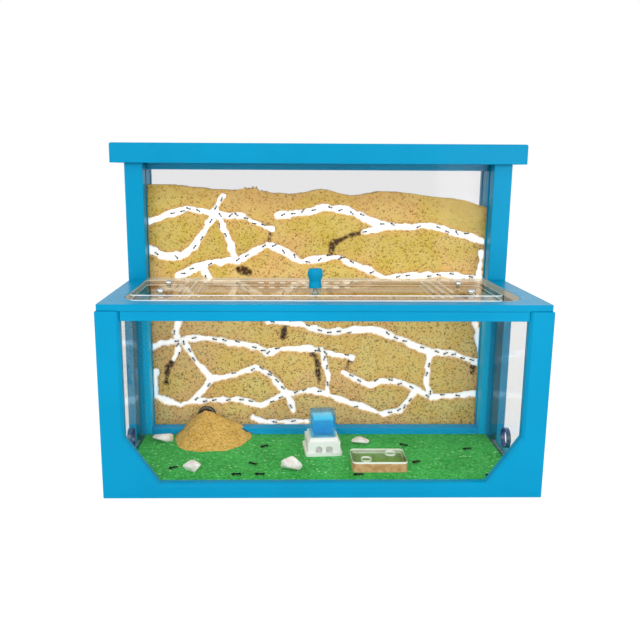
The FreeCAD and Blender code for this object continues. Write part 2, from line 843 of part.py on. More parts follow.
def make_drinker_base():
    """A stepped foot with a well inside, and two arches where the ants drink."""
    body = board("drinker_base", "XY_Plane", "0", "flange_height", [centred("flange_width")])
    dress(body, "Fillet", "cap_round", upright)
    add_pad(body, "XY_Plane", "flange_height", "well_height", [centred("well_width")])
    seat = "(flange_height + well_height)"
    add_pad(body, "XY_Plane", seat, "seat_height", [centred("seat_width")])
    arches = []
    for side in ("-", "+"):
        middle = "(0 %s arch_pitch / 2)" % side
        left = "(%s - arch_width / 2)" % middle
        right = "(%s + arch_width / 2)" % middle
        foot = "flange_height"
        spring = "(flange_height + arch_height)"
        arches.append([(left, foot), (right, foot), (right, spring, "arch_radius", 1),
                       (left, spring)])
    face = "(0 - well_width / 2)"
    for arch in arches:
        add_pocket(body, "XZ_Plane", face, "arch_depth", [arch])
    reach = "(neck_bore / 2 + neck_wall + fit_gap)"
    down = "(neck_length + 1)"
    start = "(flange_height + well_height + seat_height - %s)" % down
    add_pocket(body, "XY_Plane", start, down, [], [("0", "0", reach)])
    place_drinker(body, GROUND)


def make_drinker_tank():
    """A clear square tank, closed on top, whose neck drops into the well."""
    body = board("drinker_tank", "XY_Plane", "0", "tank_height", [centred("tank_width")])
    dress(body, "Fillet", "tank_round", upright)
    inside = "(tank_width - 2 * tank_wall)"
    hollow = "(tank_height - 2 * tank_wall)"
    add_pocket(body, "XY_Plane", "tank_wall", hollow, [centred(inside)])
    neck = [("0", "0", "(neck_bore / 2 + neck_wall)")]
    add_pad(body, "XY_Plane", "(0 - neck_length)", "(neck_length + tank_wall)", [], neck)
    bore = [("0", "0", "(neck_bore / 2)")]
    add_pocket(body, "XY_Plane", "(0 - neck_length)", "(neck_length + tank_wall)", [], bore)
    seat = "(%s + flange_height + well_height + seat_height)" % GROUND
    place_drinker(body, seat)
    water = centred("(tank_width - 2 * tank_wall)")
    fill = board("drinker_water", "XY_Plane", "tank_wall", "water_level", [water])
    place_drinker(fill, seat)


def make_feeder():
    """A shallow tray and the clear plate with two round holes that lies on it."""
    back = "(%s + feeder_back)" % FRONT
    plan = centred("feeder_width", "feeder_depth")
    tray = board("feeder_tray", "XY_Plane", "0", "feeder_height", [plan])
    dress(tray, "Fillet", "feeder_round", upright)
    inner = centred("(feeder_width - 2 * feeder_wall)", "(feeder_depth - 2 * feeder_wall)")
    add_pocket(tray, "XY_Plane", "feeder_wall", "(feeder_height - feeder_wall)", [inner])
    put(tray, "feeder_right", back, GROUND)
    holes = [
        ("(0 - cover_hole_reach)", "(0 - cover_hole_step)", "(cover_hole / 2)"),
        ("cover_hole_reach", "cover_hole_step", "(cover_hole / 2)"),
    ]
    cover = board("feeder_cover", "XY_Plane", "0", "cover_board", [plan], holes)
    dress(cover, "Fillet", "feeder_round", upright_corner("(feeder_width / 2)"))
    put(cover, "feeder_right", back, "(%s + feeder_height)" % GROUND)


def upright_corner(reach):
    """A test for the upright edges that stand this far from the middle."""
    far = number(reach)
    return lambda edge: upright(edge) and abs(abs(edge.Vertexes[0].Point.x) - far) < 0.01


def check_all():
    """Stop before anything is written if the document or a piece is broken."""
    doc.recompute()
    for thing in doc.Objects:
        if "Invalid" in thing.State or "Error" in thing.State:
            raise RuntimeError("%s failed: %s" % (thing.Name, thing.State))
    for name, thing in pieces.items():
        shape = thing.Shape
        if shape.isNull() or not shape.isValid() or not shape.Solids:
            raise RuntimeError("%s has no sound shape" % name)


def write_all():
    os.makedirs("parts", exist_ok=True)
    facets = 0
    for name, thing in pieces.items():
        thing.Shape.exportStep("parts/%s.step" % name)
        count = len(thing.Shape.tessellate(0.1)[1])
        facets += count
        box = thing.Shape.BoundBox
        print("%-18s %2d solids %5d facets  x %.1f..%.1f y %.1f..%.1f z %.1f..%.1f" % (
            name, len(thing.Shape.Solids), count, box.XMin, box.XMax, box.YMin, box.YMax,
            box.ZMin, box.ZMax))
    print(len(pieces), "pieces,", facets, "facets")


make_base()
make_front_frame()
make_side_frames()
make_box_panes()
make_port_bushes()
make_posts()
make_nest_frame()
make_nest_sand()
make_cap()
make_top_frame()
make_top_pane()
make_lid()
make_locating_bars()
make_lid_screws()
make_knob()
make_floor()
make_heap()
make_stones()
make_drinker_base()
make_drinker_tank()
make_feeder()
check_all()
write_all()
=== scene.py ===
# %% [markdown]
# Ant habitat: a blue and clear acrylic box with a tall flat nest of sand behind it.
# The boards, panes and screws come as a finished frame in their real places. This
# lesson gives them their finishes, and models what a sheet of acrylic can't show:
# dug sand, a heap, stones and the ants themselves.

# %% Load the frame
import bpy
import bmesh
import math
import numpy as np
from mathutils import Matrix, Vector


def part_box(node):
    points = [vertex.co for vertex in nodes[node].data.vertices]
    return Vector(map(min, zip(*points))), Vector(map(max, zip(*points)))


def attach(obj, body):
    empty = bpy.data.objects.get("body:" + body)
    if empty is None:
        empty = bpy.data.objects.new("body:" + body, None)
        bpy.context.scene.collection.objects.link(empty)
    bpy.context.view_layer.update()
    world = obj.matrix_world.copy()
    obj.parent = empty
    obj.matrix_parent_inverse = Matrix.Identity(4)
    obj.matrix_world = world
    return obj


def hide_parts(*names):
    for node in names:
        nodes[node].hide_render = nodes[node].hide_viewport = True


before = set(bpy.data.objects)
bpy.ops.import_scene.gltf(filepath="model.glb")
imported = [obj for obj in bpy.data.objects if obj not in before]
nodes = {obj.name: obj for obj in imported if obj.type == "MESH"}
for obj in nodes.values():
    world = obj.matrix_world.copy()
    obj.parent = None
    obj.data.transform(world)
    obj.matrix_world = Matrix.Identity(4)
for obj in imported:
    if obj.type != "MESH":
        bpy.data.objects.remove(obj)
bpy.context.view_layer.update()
MM = 0.001
X, Y, Z = 0, 1, 2
FACES_IT = 0.7  # a face looks along an axis when its normal has more than this of it

# %% [markdown]
# Every curved piece below is a grid of points worked out with numpy. A grid needs
# quads between neighbouring points, so one helper counts those out as whole arrays,
# and another turns points and quads into a mesh that rides on its body.


# %% Grids and pieces
def grid_faces(rows, columns, closed=False):
    """Quads between a grid's neighbours, also from the last column to the first."""
    row = np.arange(rows - 1)[:, None]
    column = np.arange(columns if closed else columns - 1)[None, :]
    after = (column + 1) % columns
    corners = [row * columns + column, row * columns + after,
               (row + 1) * columns + after, (row + 1) * columns + column]
    return np.stack(corners, -1).reshape(-1, 4)


def joined(parts):
    """Several (points, faces) as one, with the later faces' numbers moved up."""
    before = np.cumsum([0] + [len(points) for points, _ in parts])
    faces = [quads + start for (_, quads), start in zip(parts, before)]
    return np.concatenate([points for points, _ in parts]), np.concatenate(faces)


def tidy_mesh(mesh):
    """Join points that share a place, then turn every face outwards."""
    work = bmesh.new()
    work.from_mesh(mesh)
    bmesh.ops.remove_doubles(work, verts=work.verts, dist=1e-7)
    bmesh.ops.dissolve_degenerate(work, edges=work.edges, dist=1e-8)
    bmesh.ops.recalc_face_normals(work, faces=work.faces)
    work.to_mesh(mesh)
    work.free()


def add_piece(name, points, faces, body, finish):
    """A smooth mesh of points in metres that moves with its body and has one finish."""
    mesh = bpy.data.meshes.new(name)
    mesh.from_pydata(np.asarray(points, float).tolist(), [], [list(f) for f in faces])
    tidy_mesh(mesh)
    mesh.polygons.foreach_set("use_smooth", [True] * len(mesh.polygons))
    mesh.materials.append(finish)
    thing = bpy.data.objects.new(name, mesh)
    bpy.context.scene.collection.objects.link(thing)
    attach(thing, body)
    return thing


def smooth_step(low, high, value):
    """0 below low, 1 above high, and an S-shaped rise between them."""
    share = np.clip((value - low) / (high - low), 0, 1)
    return share * share * (3 - 2 * share)


def rough_field(across, up, size, seed):
    """From 0 to 1: a lattice of random heights, blended between its points."""
    lattice = np.random.default_rng(seed).random((256, 256))
    column = across / size + 1000
    row = up / size + 1000
    left = np.floor(column).astype(int)
    low = np.floor(row).astype(int)
    right_share = smooth_step(0, 1, column - left)
    high_share = smooth_step(0, 1, row - low)
    at = lambda step, rise: lattice[(low + rise) % 256, (left + step) % 256]
    bottom = at(0, 0) * (1 - right_share) + at(1, 0) * right_share
    top = at(0, 1) * (1 - right_share) + at(1, 1) * right_share
    return bottom * (1 - high_share) + top * high_share


def hills(across, up, size, seed):
    """The same field as hills and hollows, from -0.5 to 0.5."""
    return rough_field(across, up, size, seed) - 0.5


# %% [markdown]
# A finish is a small sum: so much of one colour where the grain is high, so much of
# another where it is low. Nodes can say that, but a sum is easier to read, so a
# socket is wrapped in a class whose operators add the Math nodes.


# %% Shader sums
class Sum:
    """A node's output. Plus, minus, times and power each add a Math node."""

    def __init__(self, finish, socket):
        self.finish = finish
        self.socket = socket

    def math(self, operation, first, second):
        return self.finish.node("ShaderNodeMath", {"operation": operation},
                                {0: first, 1: second})

    def __add__(self, other):
        return self.math("ADD", self, other)

    def __sub__(self, other):
        return self.math("SUBTRACT", self, other)

    def __rsub__(self, other):
        return self.math("SUBTRACT", other, self)

    def __mul__(self, other):
        return self.math("MULTIPLY", self, other)

    def __pow__(self, other):
        return self.math("POWER", self, other)

    def above(self, level):
        """1 where the value is over the level, otherwise 0."""
        return self.math("GREATER_THAN", self, level)

    def larger(self, other):
        return self.math("MAXIMUM", self, other)

    def without_sign(self):
        return self.finish.node("ShaderNodeMath", {"operation": "ABSOLUTE"}, {0: self})

    __radd__ = __add__
    __rmul__ = __mul__


class Finish:
    """One material: a Principled surface, and nodes that feed it."""

    def __init__(self, name, **surface):
        self.material = bpy.data.materials.new(name)
        self.material.use_nodes = True
        self.tree = self.material.node_tree
        self.surface = self.tree.nodes["Principled BSDF"]
        self.output = self.tree.nodes["Material Output"]
        for socket, value in surface.items():
            words = socket.replace("_", " ").title().replace("Ior", "IOR")
            self.feed(self.surface, words, value)

    def feed(self, node, socket, value):
        """Give a socket a number or colour, or link it to another node's output."""
        if isinstance(value, Sum):
            self.tree.links.new(value.socket, node.inputs[socket])
        else:
            node.inputs[socket].default_value = value

    def node(self, kind, settings, inputs, output=0):
        """Add a node: its settings first, then the values or links of its sockets."""
        made = self.tree.nodes.new(kind)
        for setting, value in settings.items():
            setattr(made, setting, value)
        for socket, value in inputs.items():
            self.feed(made, socket, value)
        return Sum(self, made.outputs[output])

    def place(self, axis=None):
        """Where a point is, in metres: all three numbers, or one of them by its axis."""
        return self.one_axis("Object", axis)

    def looks(self, axis):
        """How far a face looks along an axis, from -1 to 1."""
        return self.one_axis("Normal", axis)

    def one_axis(self, kind, axis):
        vector = self.node("ShaderNodeTexCoord", {}, {}, kind)
        if axis is None:
            return vector
        return self.node("ShaderNodeSeparateXYZ", {}, {0: vector}, axis)

    def slant(self):
        """0 where the surface is seen straight on, and 1 at its outline."""
        return self.node("ShaderNodeLayerWeight", {}, {"Blend": 0.5}, "Facing")

    def see_through(self, tint):
        return self.node("ShaderNodeBsdfTransparent", {}, {"Color": tint})

    def mixed(self, share, first, second):
        """Two surfaces in one: only the first at share 0, only the second at 1."""
        return self.node("ShaderNodeMixShader", {}, {0: share, 1: first, 2: second})

    def noise(self, scale, detail=3.0):
        """Clouds on the piece's own coordinates: scale is clouds per metre."""
        return self.node("ShaderNodeTexNoise", {},
                         {"Vector": self.place(), "Scale": scale, "Detail": detail})

    def grain(self, scale):
        """One random shade per grain, from a cell pattern."""
        cells = self.node("ShaderNodeTexVoronoi", {}, {"Vector": self.place(), "Scale": scale},
                          "Color")
        return self.node("ShaderNodeSeparateColor", {}, {0: cells})

    def between(self, value, low, high):
        """0 where the value is under low, 1 over high."""
        return self.node("ShaderNodeMapRange", {}, {0: value, 1: low, 2: high})

    def blend(self, share, first, second):
        """Two colours in one: only the first at share 0, only the second at 1."""
        return self.node("ShaderNodeMix", {"data_type": "RGBA"},
                         {0: share, 6: first, 7: second}, 2)

    def mark(self, name):
        """A number that the mesh carries at each point."""
        return self.node("ShaderNodeAttribute", {"attribute_name": name}, {}, "Fac")

    def bump(self, height, strength, distance):
        """Shade the surface as if it had this relief, as deep as distance in metres."""
        normal = self.node("ShaderNodeBump", {}, {"Height": height, "Strength": strength,
                                                  "Distance": distance})
        self.feed(self.surface, "Normal", normal)

    def colour(self, value):
        self.feed(self.surface, "Base Color", value)


def paint(red, green, blue):
    """A colour written as on a screen, from 0 to 255, as the light it stands for."""
    shares = [value / 255 for value in (red, green, blue)]
    return tuple(((s + 0.055) / 1.055) ** 2.4 if s > 0.04 else s / 12.92 for s in shares) + (1,)


def dress(finish, *names):
    """Give frame pieces this finish in place of the one they came with."""
    for name in names:
        mesh = nodes[name].data
        mesh.materials.clear()
        mesh.materials.append(finish)


# %% [markdown]
# The boards are blue acrylic, cut from sheet. Its gloss is even, but a hand has
# polished it, so broad clouds vary the shade a little and fine ones the gloss. The
# sawn edges catch light, which a small bevel on each board gives.


# %% Blue boards
def blue_board(name, first, second, lit_inner=None):
    """Blue in two near shades, and a lighter blue painted on faces that look into the arena, as
    painted light in the top frame's shade.
    """
    finish = Finish(name, specular_ior_level=0.06, coat_weight=0.02)
    clouds = finish.noise(14.0)
    body = finish.blend(finish.between(clouds, 0.3, 0.7), first, second)
    if lit_inner:
        body = finish.blend(painted_light_inside(finish), body, lit_inner)
    finish.colour(body)
    finish.feed(finish.surface, "Roughness", 0.24 + 0.14 * finish.noise(160.0))
    finish.bump(finish.noise(420.0), 0.05, 0.0002)
    return finish.material


def painted_light_inside(finish):
    """1 on a tower post's faces that look forward or inward, below the top frame.

    A face looks inward when its place and its direction across have opposite signs.
    These faces get a lighter blue, as painted light in the top frame's shade.
    """
    inward = (finish.place(X) * finish.looks(X) * -1.0).above(0.1)
    forward = (finish.looks(Y) * -1.0).above(FACES_IT)
    low = (finish.place(Z) * -1.0).above(-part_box("top_frame")[0].z)
    return inward.larger(forward) * low


def ease_edges(name, width=0.5 * MM):
    """Join the board's loose triangles, then round its sharp edges a little."""
    join = nodes[name].modifiers.new("join", "WELD")
    join.merge_threshold = 1e-6
    round_off = nodes[name].modifiers.new("round", "BEVEL")
    round_off.width = width
    round_off.segments = 2
    round_off.limit_method = "ANGLE"
    round_off.angle_limit = math.radians(35)
    round_off.harden_normals = True


BOARDS = ["front_frame", "left_side_frame", "right_side_frame", "top_frame", "base_plate",
          "left_tower_post", "right_tower_post", "nest_front_rail", "nest_rear_rail",
          "tower_cap"]
BLUES = paint(0, 129, 170), paint(0, 136, 178)
# Lighter copies of the board blue for the rail inside the arena: painted light in the top frame's
# shade.
LIT_INSIDE_BLUES = paint(0, 150, 206), paint(0, 156, 214)
blue = blue_board("blue_acrylic", *BLUES)
dress(blue, *BOARDS)
dress(blue_board("blue_acrylic_painted_lit", *LIT_INSIDE_BLUES), "nest_front_rail")
# The posts get a lighter blue where they face into the arena: painted light in the top frame's
# shade.
dress(blue_board("blue_acrylic_post_painted_lit", *BLUES, paint(0, 180, 232)),
      "left_tower_post", "right_tower_post")
for board in BOARDS:
    ease_edges(board)
print(len(BOARDS), "boards eased")

# %% [markdown]
# A clear pane hardly shows until it is seen at a slant: then it mirrors. Thin sheet
# bends light too little to matter, so each face either lets light straight through or
# mirrors it, and the mirror's share grows with the fifth power of the slant. The sawn
# edges are frosted, and are found by the direction that their faces point in.


# %% Clear sheet
STRAIGHT_MIRROR = 0.006
BAND_HAZE = 0.12
HIGHLIGHT_LINE_WIDTH = 0.6 * MM


def clear_sheet(name, thin, tint, haze, edge_colour, gloss=0.05, shine=0.5,
                image_tint=(1, 1, 1, 1), highlight_lined=None):
    """thin is the axis across the sheet, and haze is how frosted its edges are.

    The name of a sheet with highlight lines is given: its edges are frosted mostly along
    their top and bottom, as two painted highlight lines with a nearly clear band between.
    """
    finish = Finish(name, roughness=0.35, base_color=edge_colour)
    mirror = STRAIGHT_MIRROR + shine * finish.slant() ** 5.0
    through = finish.see_through(tint)
    image = finish.node("ShaderNodeBsdfGlossy", {}, {"Color": image_tint, "Roughness": gloss})
    face = finish.mixed(mirror, through, image)
    edge = 1 - finish.looks(thin).without_sign().above(FACES_IT)
    frosted = Sum(finish, finish.surface.outputs[0])
    # Two painted highlight lines: the edge is frosted more near its top and bottom.
    if highlight_lined:
        low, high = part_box(highlight_lined)
        away = (finish.place(Z) - (low.z + high.z) / 2).without_sign()
        haze = BAND_HAZE + haze * away.above((high.z - low.z) / 2 - HIGHLIGHT_LINE_WIDTH)
    finish.feed(finish.output, "Surface",
                finish.mixed(edge, face, finish.mixed(haze, through, frosted)))
    return finish.material


CLEAR = (0.985, 0.99, 0.99, 1)
dress(clear_sheet("clear_front", Y, CLEAR, 0.25, paint(225, 240, 245)),
      "front_pane", "nest_front_pane")
dress(clear_sheet("clear_rear", Y, (0.9, 0.895, 0.9, 1), 0.25, paint(225, 240, 245)),
      "nest_rear_pane")
dress(clear_sheet("clear_side", X, (0.94, 0.945, 0.95, 1), 0.25, paint(215, 235, 245)),
      "left_side_pane", "right_side_pane")
# The lid and top pane are clear acrylic. Their tan tint, and the tan of what they mirror, are
# painted light: sand-coloured light the sheet carries from the nest.
LID_SAND_LIGHT_TINT = (0.94, 0.895, 0.825, 1)
LID_SAND_REFLECTION = (0.84, 0.69, 0.5, 1)
dress(clear_sheet("clear_lid", Z, LID_SAND_LIGHT_TINT, 0.6, paint(255, 255, 255), 0.03, 0.6, LID_SAND_REFLECTION,
                  "lid_plate"), "lid_plate")
dress(clear_sheet("clear_top", Z, LID_SAND_LIGHT_TINT, 0.5, paint(250, 250, 250), 0.03, 0.5, LID_SAND_REFLECTION),
      "top_pane", "left_locating_bar", "right_locating_bar")
dress(clear_sheet("clear_cover", Z, (0.96, 0.98, 0.95, 1), 0.9, paint(250, 250, 245)),
      "feeder_cover")

# %% [markdown]
# The ports' liners are glossy blue, painted dark: partly their own colour, partly painted shade,
# like the inside of a pipe.

# %% Port liners
shaded_liner = Finish("blue_liner_painted_shade", base_color=paint(16, 52, 96), roughness=0.22)
shaded_liner.bump(shaded_liner.noise(500.0), 0.05, 0.0001)
dress(shaded_liner.material, "left_port_bush", "right_port_bush")

# %% [markdown]
# The nest is packed sand that ants have dug. From the front it is a relief: level
# with the pane, except where a tunnel sinks in. A grid follows the sand from the
# floor to the dune line, and each point asks how far it is from the nearest tunnel.
# The same distance colours the sand: white with a painted glow in the tunnel, as painted light
# coming through it, and a warm painted glow along its rim.

# %% Tunnel routes
# Each route: its width as a share of the usual one, and points (across, height) in mm.
TUNNELS = [
    (1.0, [(-136, 179), (-122, 184), (-104, 190), (-84, 186), (-76, 200)]),
    (0.9, [(-77, 184), (-65, 185), (-53, 180), (-37, 173)]),
    (1.2, [(-82, 185), (-99, 160), (-109, 151), (-124, 152), (-136, 157)]),
    (1.1, [(-80, 185), (-72, 166), (-65, 147)]),
    (1.1, [(-65, 148), (-84, 147), (-98, 142), (-114, 134)]),
    (0.9, [(-92, 143), (-91, 138), (-87, 133)]),
    (1.0, [(-65, 148), (-41, 161), (-26, 155), (-14, 147), (0, 149), (18, 151), (35, 143),
           (56, 134), (76, 136), (103, 137), (134, 134)]),
    (1.1, [(-33, 184), (-12, 187), (4, 191), (24, 189), (48, 178), (75, 175), (91, 177),
           (123, 168), (136, 163)]),
    (0.9, [(64, 176), (50, 174), (37, 171)]),
    (1.0, [(134, 155), (132, 135), (130, 118), (132, 96), (137, 76), (141, 61)]),
    (1.1, [(-136, 75), (-128, 79), (-113, 80), (-108, 83), (-89, 83), (-73, 80), (-55, 77),
           (-41, 71), (-26, 74), (-6, 75), (16, 69), (30, 67)]),
    (0.9, [(-114, 97), (-116, 88), (-114, 80)]),
    (0.9, [(-114, 80), (-116, 70), (-119, 65)]),
    (1.1, [(-110, 79), (-100, 63), (-88, 49), (-78, 49), (-51, 58), (-39, 52), (-24, 35),
           (-19, 20)]),
    (1.2, [(-134, 54), (-135, 33), (-126, 29), (-114, 25), (-102, 30), (-88, 48)]),
    (1.0, [(-101, 29), (-78, 30), (-63, 30), (-47, 25), (-24, 35), (-1, 38), (37, 25),
           (57, 17), (72, 21), (84, 37)]),
    (1.0, [(4, 74), (10, 52), (10, 36)]),
    (1.1, [(-40, 98), (-15, 96), (-4, 92), (10, 88), (28, 90), (46, 91), (61, 86), (95, 71),
           (113, 70), (141, 61)]),
    (1.0, [(95, 71), (93, 47), (98, 31)]),
    (1.1, [(23, 54), (44, 43), (59, 47), (77, 43), (98, 32), (115, 33), (137, 35)]),
    (0.9, [(-53, 14), (-42, 10), (-6, 11)]),
]
SHADED_TUNNELS = [
    (0.8, [(-37, 173), (-41, 160)]),
    (1.0, [(37, 171), (22, 167), (13, 161), (11, 153)]),
    (1.0, [(-119, 65), (-124, 55), (-126, 46)]),
    (1.2, [(-2, 72), (1, 60), (3, 47)]),
    (0.8, [(-26, 93), (-28, 84)]),
    (0.7, [(29, 66), (25, 56)]),
    (1.0, [(-64, 140), (-56, 138)]),
    (0.8, [(133, 62), (132, 54)]),
]
DUNE = [(-136, 208), (-127, 208.6), (-105, 206.5), (-78, 204), (-58, 203.8), (-36, 201.5),
        (-17, 201), (2, 204.6), (28, 199.8), (52, 203.2), (68, 202.4), (94, 199), (120, 196),
        (136, 190.8)]
TUNNEL_WIDTH = 4.3
BAYS = 2.6  # how far a tunnel's wall wanders from end to end of its swing
CRUMBLES = 1.1
LEVEL_DEPTH = 0.1  # of the sand's face behind the pane
GRAIN_DEPTH = 0.35
GROOVE_DEPTH = 2.6
DOOR = (-92, 16.3)
DOOR_RADIUS = 7.5
ROOM_DEPTH = 6.0
CREST_HEIGHT = 0.7
CRUMBS = -51  # where a little ridge of crumbs stands on the dune
CRUMBS_REACH = 9
CRUMBS_HEIGHT = 3.4
GLOW_RIM_REACH = 3.0
# how far below the crest the painted shade reaches, in mm
CREST_SHADE_REACH = 13


# %% Distance to the tunnels
def distance_to(routes, across, up):
    """Distance in mm from each point to the wall of the nearest route.

    A point's foot on a segment is its shadow along it, held between the two ends.
    """
    best = np.full(across.shape, 1e3)
    for share, route in routes:
        for start, end in zip(route, route[1:]):
            way = np.subtract(end, start)
            along = (across - start[0]) * way[0] + (up - start[1]) * way[1]
            along = np.clip(along / (way @ way), 0, 1)
            far = np.hypot(across - start[0] - along * way[0], up - start[1] - along * way[1])
            best = np.minimum(best, far - share * TUNNEL_WIDTH / 2)
    return best


def spline_through(places, across):
    """A smooth line through a few places: each stretch is a cubic of the slopes."""
    x, z = np.array(places, float).T
    slope = np.gradient(z, x)
    step = np.clip(np.searchsorted(x, across) - 1, 0, len(x) - 2)
    width = x[step + 1] - x[step]
    t = (across - x[step]) / width
    return (z[step] * (1 + 2 * t) * (1 - t) ** 2 + z[step + 1] * t * t * (3 - 2 * t)
            + width * (slope[step] * t * (1 - t) ** 2 - slope[step + 1] * t * t * (1 - t)))


# %% [markdown]
# Real sand crumbles, so the wall of a tunnel wanders: soft random hills are added to
# the distance before it is cut off, a coarse one for bays and a fine one for crumbs.


# %% Dug sand
def dug_sand(front, middle, seed, columns=300, rows=220):
    """One half of the slab: a relief on its face, and flat at the slab's middle.

    A point's depth is a sum: the level face's, the groove's in a tunnel, the room's
    behind the door, and a random grain's outside the white tunnels.
    """
    share = np.linspace(0, 1, columns)[None, :].repeat(rows, 0)
    rise = np.linspace(0, 1, rows)[:, None].repeat(columns, 1)
    low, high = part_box("nest_sand")
    across = (low.x + (high.x - low.x) * share) / MM
    floor = low.z / MM
    crest = spline_through(DUNE, across)
    crumbs = np.exp(-((across - CRUMBS) / CRUMBS_REACH) ** 4)
    rough_height = CREST_HEIGHT + CRUMBS_HEIGHT * crumbs
    crest = crest + rough_field(across, across * 0, 1.5, 7) * rough_height
    up = floor + (np.minimum(crest, high.z / MM) - floor) * rise
    wander = hills(across, up, 6.0, seed) * BAYS
    wander = wander + hills(across, up, 1.7, seed + 1) * CRUMBLES
    white = distance_to(TUNNELS, across, up) + wander
    shaded = distance_to(SHADED_TUNNELS, across, up) + wander * 1.3
    door = np.hypot(across - DOOR[0], up - DOOR[1]) - DOOR_RADIUS
    dug = smooth_step(0.7, -0.7, white)
    dark = smooth_step(1.0, -0.8, shaded) * (1 - dug)
    crumbly = rough_field(across, up, 1.3, seed + 3)
    dark = dark * smooth_step(0.05, 0.4, crumbly)
    room = smooth_step(0.5, -0.5, door)
    depth = LEVEL_DEPTH + GROOVE_DEPTH * np.maximum(dug, dark) + ROOM_DEPTH * room
    depth = depth + GRAIN_DEPTH * rough_field(across, up, 1.4, seed + 2) * (1 - dug)
    side = 1 if middle > front else -1
    face = np.stack([across, front / MM + side * depth, up], -1) * MM
    sheet = pushed_back(face, middle, 0)
    sheet = pushed_back(sheet, middle, 1)
    faces = grid_faces(*sheet.shape[:2]).tolist() + [border(*sheet.shape[:2])]
    # The dark mark is painted shade: in the shaded tunnels and in the room behind the door.
    marks = {"dug": dug, "dark": np.maximum(dark, room),
             "glow_rim": np.exp(-(np.maximum(white, 0) / GLOW_RIM_REACH) ** 2) * (1 - dug),
             "painted_crest_shade": np.exp(-((crest - up) / CREST_SHADE_REACH) ** 2)}
    return sheet, faces, marks


def pushed_back(sheet, middle, lines):
    """Add copies of the grid's first and last lines, set at the slab's middle.

    The lines are its rows for 0, and its columns for 1.
    """
    first = np.take(sheet, [0], lines)
    last = np.take(sheet, [-1], lines)
    first[..., Y] = middle
    last[..., Y] = middle
    return np.concatenate([first, sheet, last], lines)


def border(rows, columns):
    """The points round the outside of a grid, in order."""
    index = np.arange(rows * columns).reshape(rows, columns)
    parts = [index[0, :-1], index[:-1, -1], index[-1, :0:-1], index[:0:-1, 0]]
    return np.concatenate(parts).tolist()


def packed_sand(name, light, warm, tan, olive, shade, speck):
    """Sand of mixed grains, with marks for painted light and shade: a white glow where it is dug,
    shade in dark tunnels and near the crest, and a warm glow by a tunnel.
    """
    finish = Finish(name, roughness=0.95)
    grain = finish.grain(950.0)
    patches = finish.between(finish.noise(16.0, 5.0), 0.46, 0.56)
    streaks = finish.between(finish.noise(70.0, 6.0), 0.4, 0.65)
    high = finish.between(finish.place(Z), 0.09, 0.16)
    body = finish.blend(patches, finish.blend(high, tan, olive), warm)
    body = finish.blend(streaks * 0.55, body, light)
    body = finish.blend(finish.between(grain, 0.3, 1.0) * 0.5, body, light)
    # Painted shade: a brown band under the dune's crest.
    body = finish.blend(finish.mark("painted_crest_shade") * 0.45, body, paint(168, 124, 82))
    # A warm painted glow along each tunnel's rim.
    body = finish.blend(finish.mark("glow_rim") * 0.75, body, paint(255, 196, 122))
    body = finish.blend(high * 0.55, body, shade)
    body = finish.blend((1 - finish.between(grain, 0.0, 0.28)) * 0.8, body, speck)
    # Painted shade: dark brown in the shaded tunnels and the room behind the door.
    body = finish.blend(finish.mark("dark"), body, paint(74, 44, 14))
    # The dug tunnels are painted white and glow: painted light coming through them.
    dug = finish.mark("dug")
    body = finish.blend(dug, body, paint(255, 255, 254))
    finish.colour(body)
    finish.feed(finish.surface, "Emission Color", finish.blend(dug, (0, 0, 0, 1), (1, 1, 1, 1)))
    finish.feed(finish.surface, "Emission Strength", 0.45)
    finish.bump(grain * 0.5 + finish.noise(700.0), 0.7, 0.0008)
    return finish.material


def carry_marks(thing, sheet, marks):
    """Store each mark on the mesh, found again by the place of its grid point."""
    cell = 0.02 * MM
    cells = lambda spots: np.round(spots.reshape(-1, 3) / cell).astype(np.int64).tolist()
    lookup = {tuple(key): i for i, key in enumerate(cells(sheet[1:-1, 1:-1]))}
    spots = np.zeros(len(thing.data.vertices) * 3)
    thing.data.vertices.foreach_get("co", spots)
    order = np.array([lookup.get(tuple(key), -1) for key in cells(spots)])
    for mark, values in marks.items():
        flat = np.append(values.reshape(-1), 0.0)
        stored = thing.data.attributes.new(mark, "FLOAT", "POINT")
        stored.data.foreach_set("value", flat[order])


sand = packed_sand("nest_sand_finish", paint(255, 234, 152), paint(255, 198, 130),
                   paint(252, 206, 108), paint(226, 200, 70), paint(166, 132, 52),
                   paint(122, 82, 26))
sand_low, sand_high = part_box("nest_sand")
sand_middle = (sand_low.y + sand_high.y) / 2
HALVES = [("nest_sand_front", sand_low.y, 11), ("nest_sand_rear", sand_high.y, 31)]
for half, front, seed in HALVES:
    sheet, faces, marks = dug_sand(front, sand_middle, seed)
    slab = add_piece(half, sheet.reshape(-1, 3), faces, "habitat", sand)
    carry_marks(slab, sheet, marks)
    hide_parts("nest_sand")
    print(half, "has", len(slab.data.polygons), "faces")

# %% [markdown]
# The floor is dyed green sand: bright grains over darker ones, with a few pale
# sparks. It is level, so its grains are colour and bump on the flat layer. Its cut
# edge, against the front pane, is paler.


# %% Green floor
def green_floor():
    """Two greens in clouds, with pale and dark grains, and a paler cut edge."""
    finish = Finish("green_sand", roughness=0.85)
    grain = finish.grain(850.0)
    clouds = finish.between(finish.noise(35.0, 4.0), 0.35, 0.65)
    body = finish.blend(clouds, paint(28, 158, 52), paint(48, 178, 72))
    body = finish.blend(finish.between(grain, 0.5, 1.0) * 0.55, body, paint(100, 222, 118))
    body = finish.blend((1 - finish.between(grain, 0.0, 0.35)) * 0.6, body, paint(6, 104, 30))
    body = finish.blend(grain.above(0.985) * 0.45, body, paint(215, 245, 205))
    front = (finish.looks(Y) * -1.0).above(FACES_IT)
    finish.colour(finish.blend(front * 0.6, body, paint(226, 206, 186)))
    finish.bump(grain * 0.6 + finish.noise(1000.0), 0.45, 0.0005)
    return finish.material


dress(green_floor(), "floor_sand")


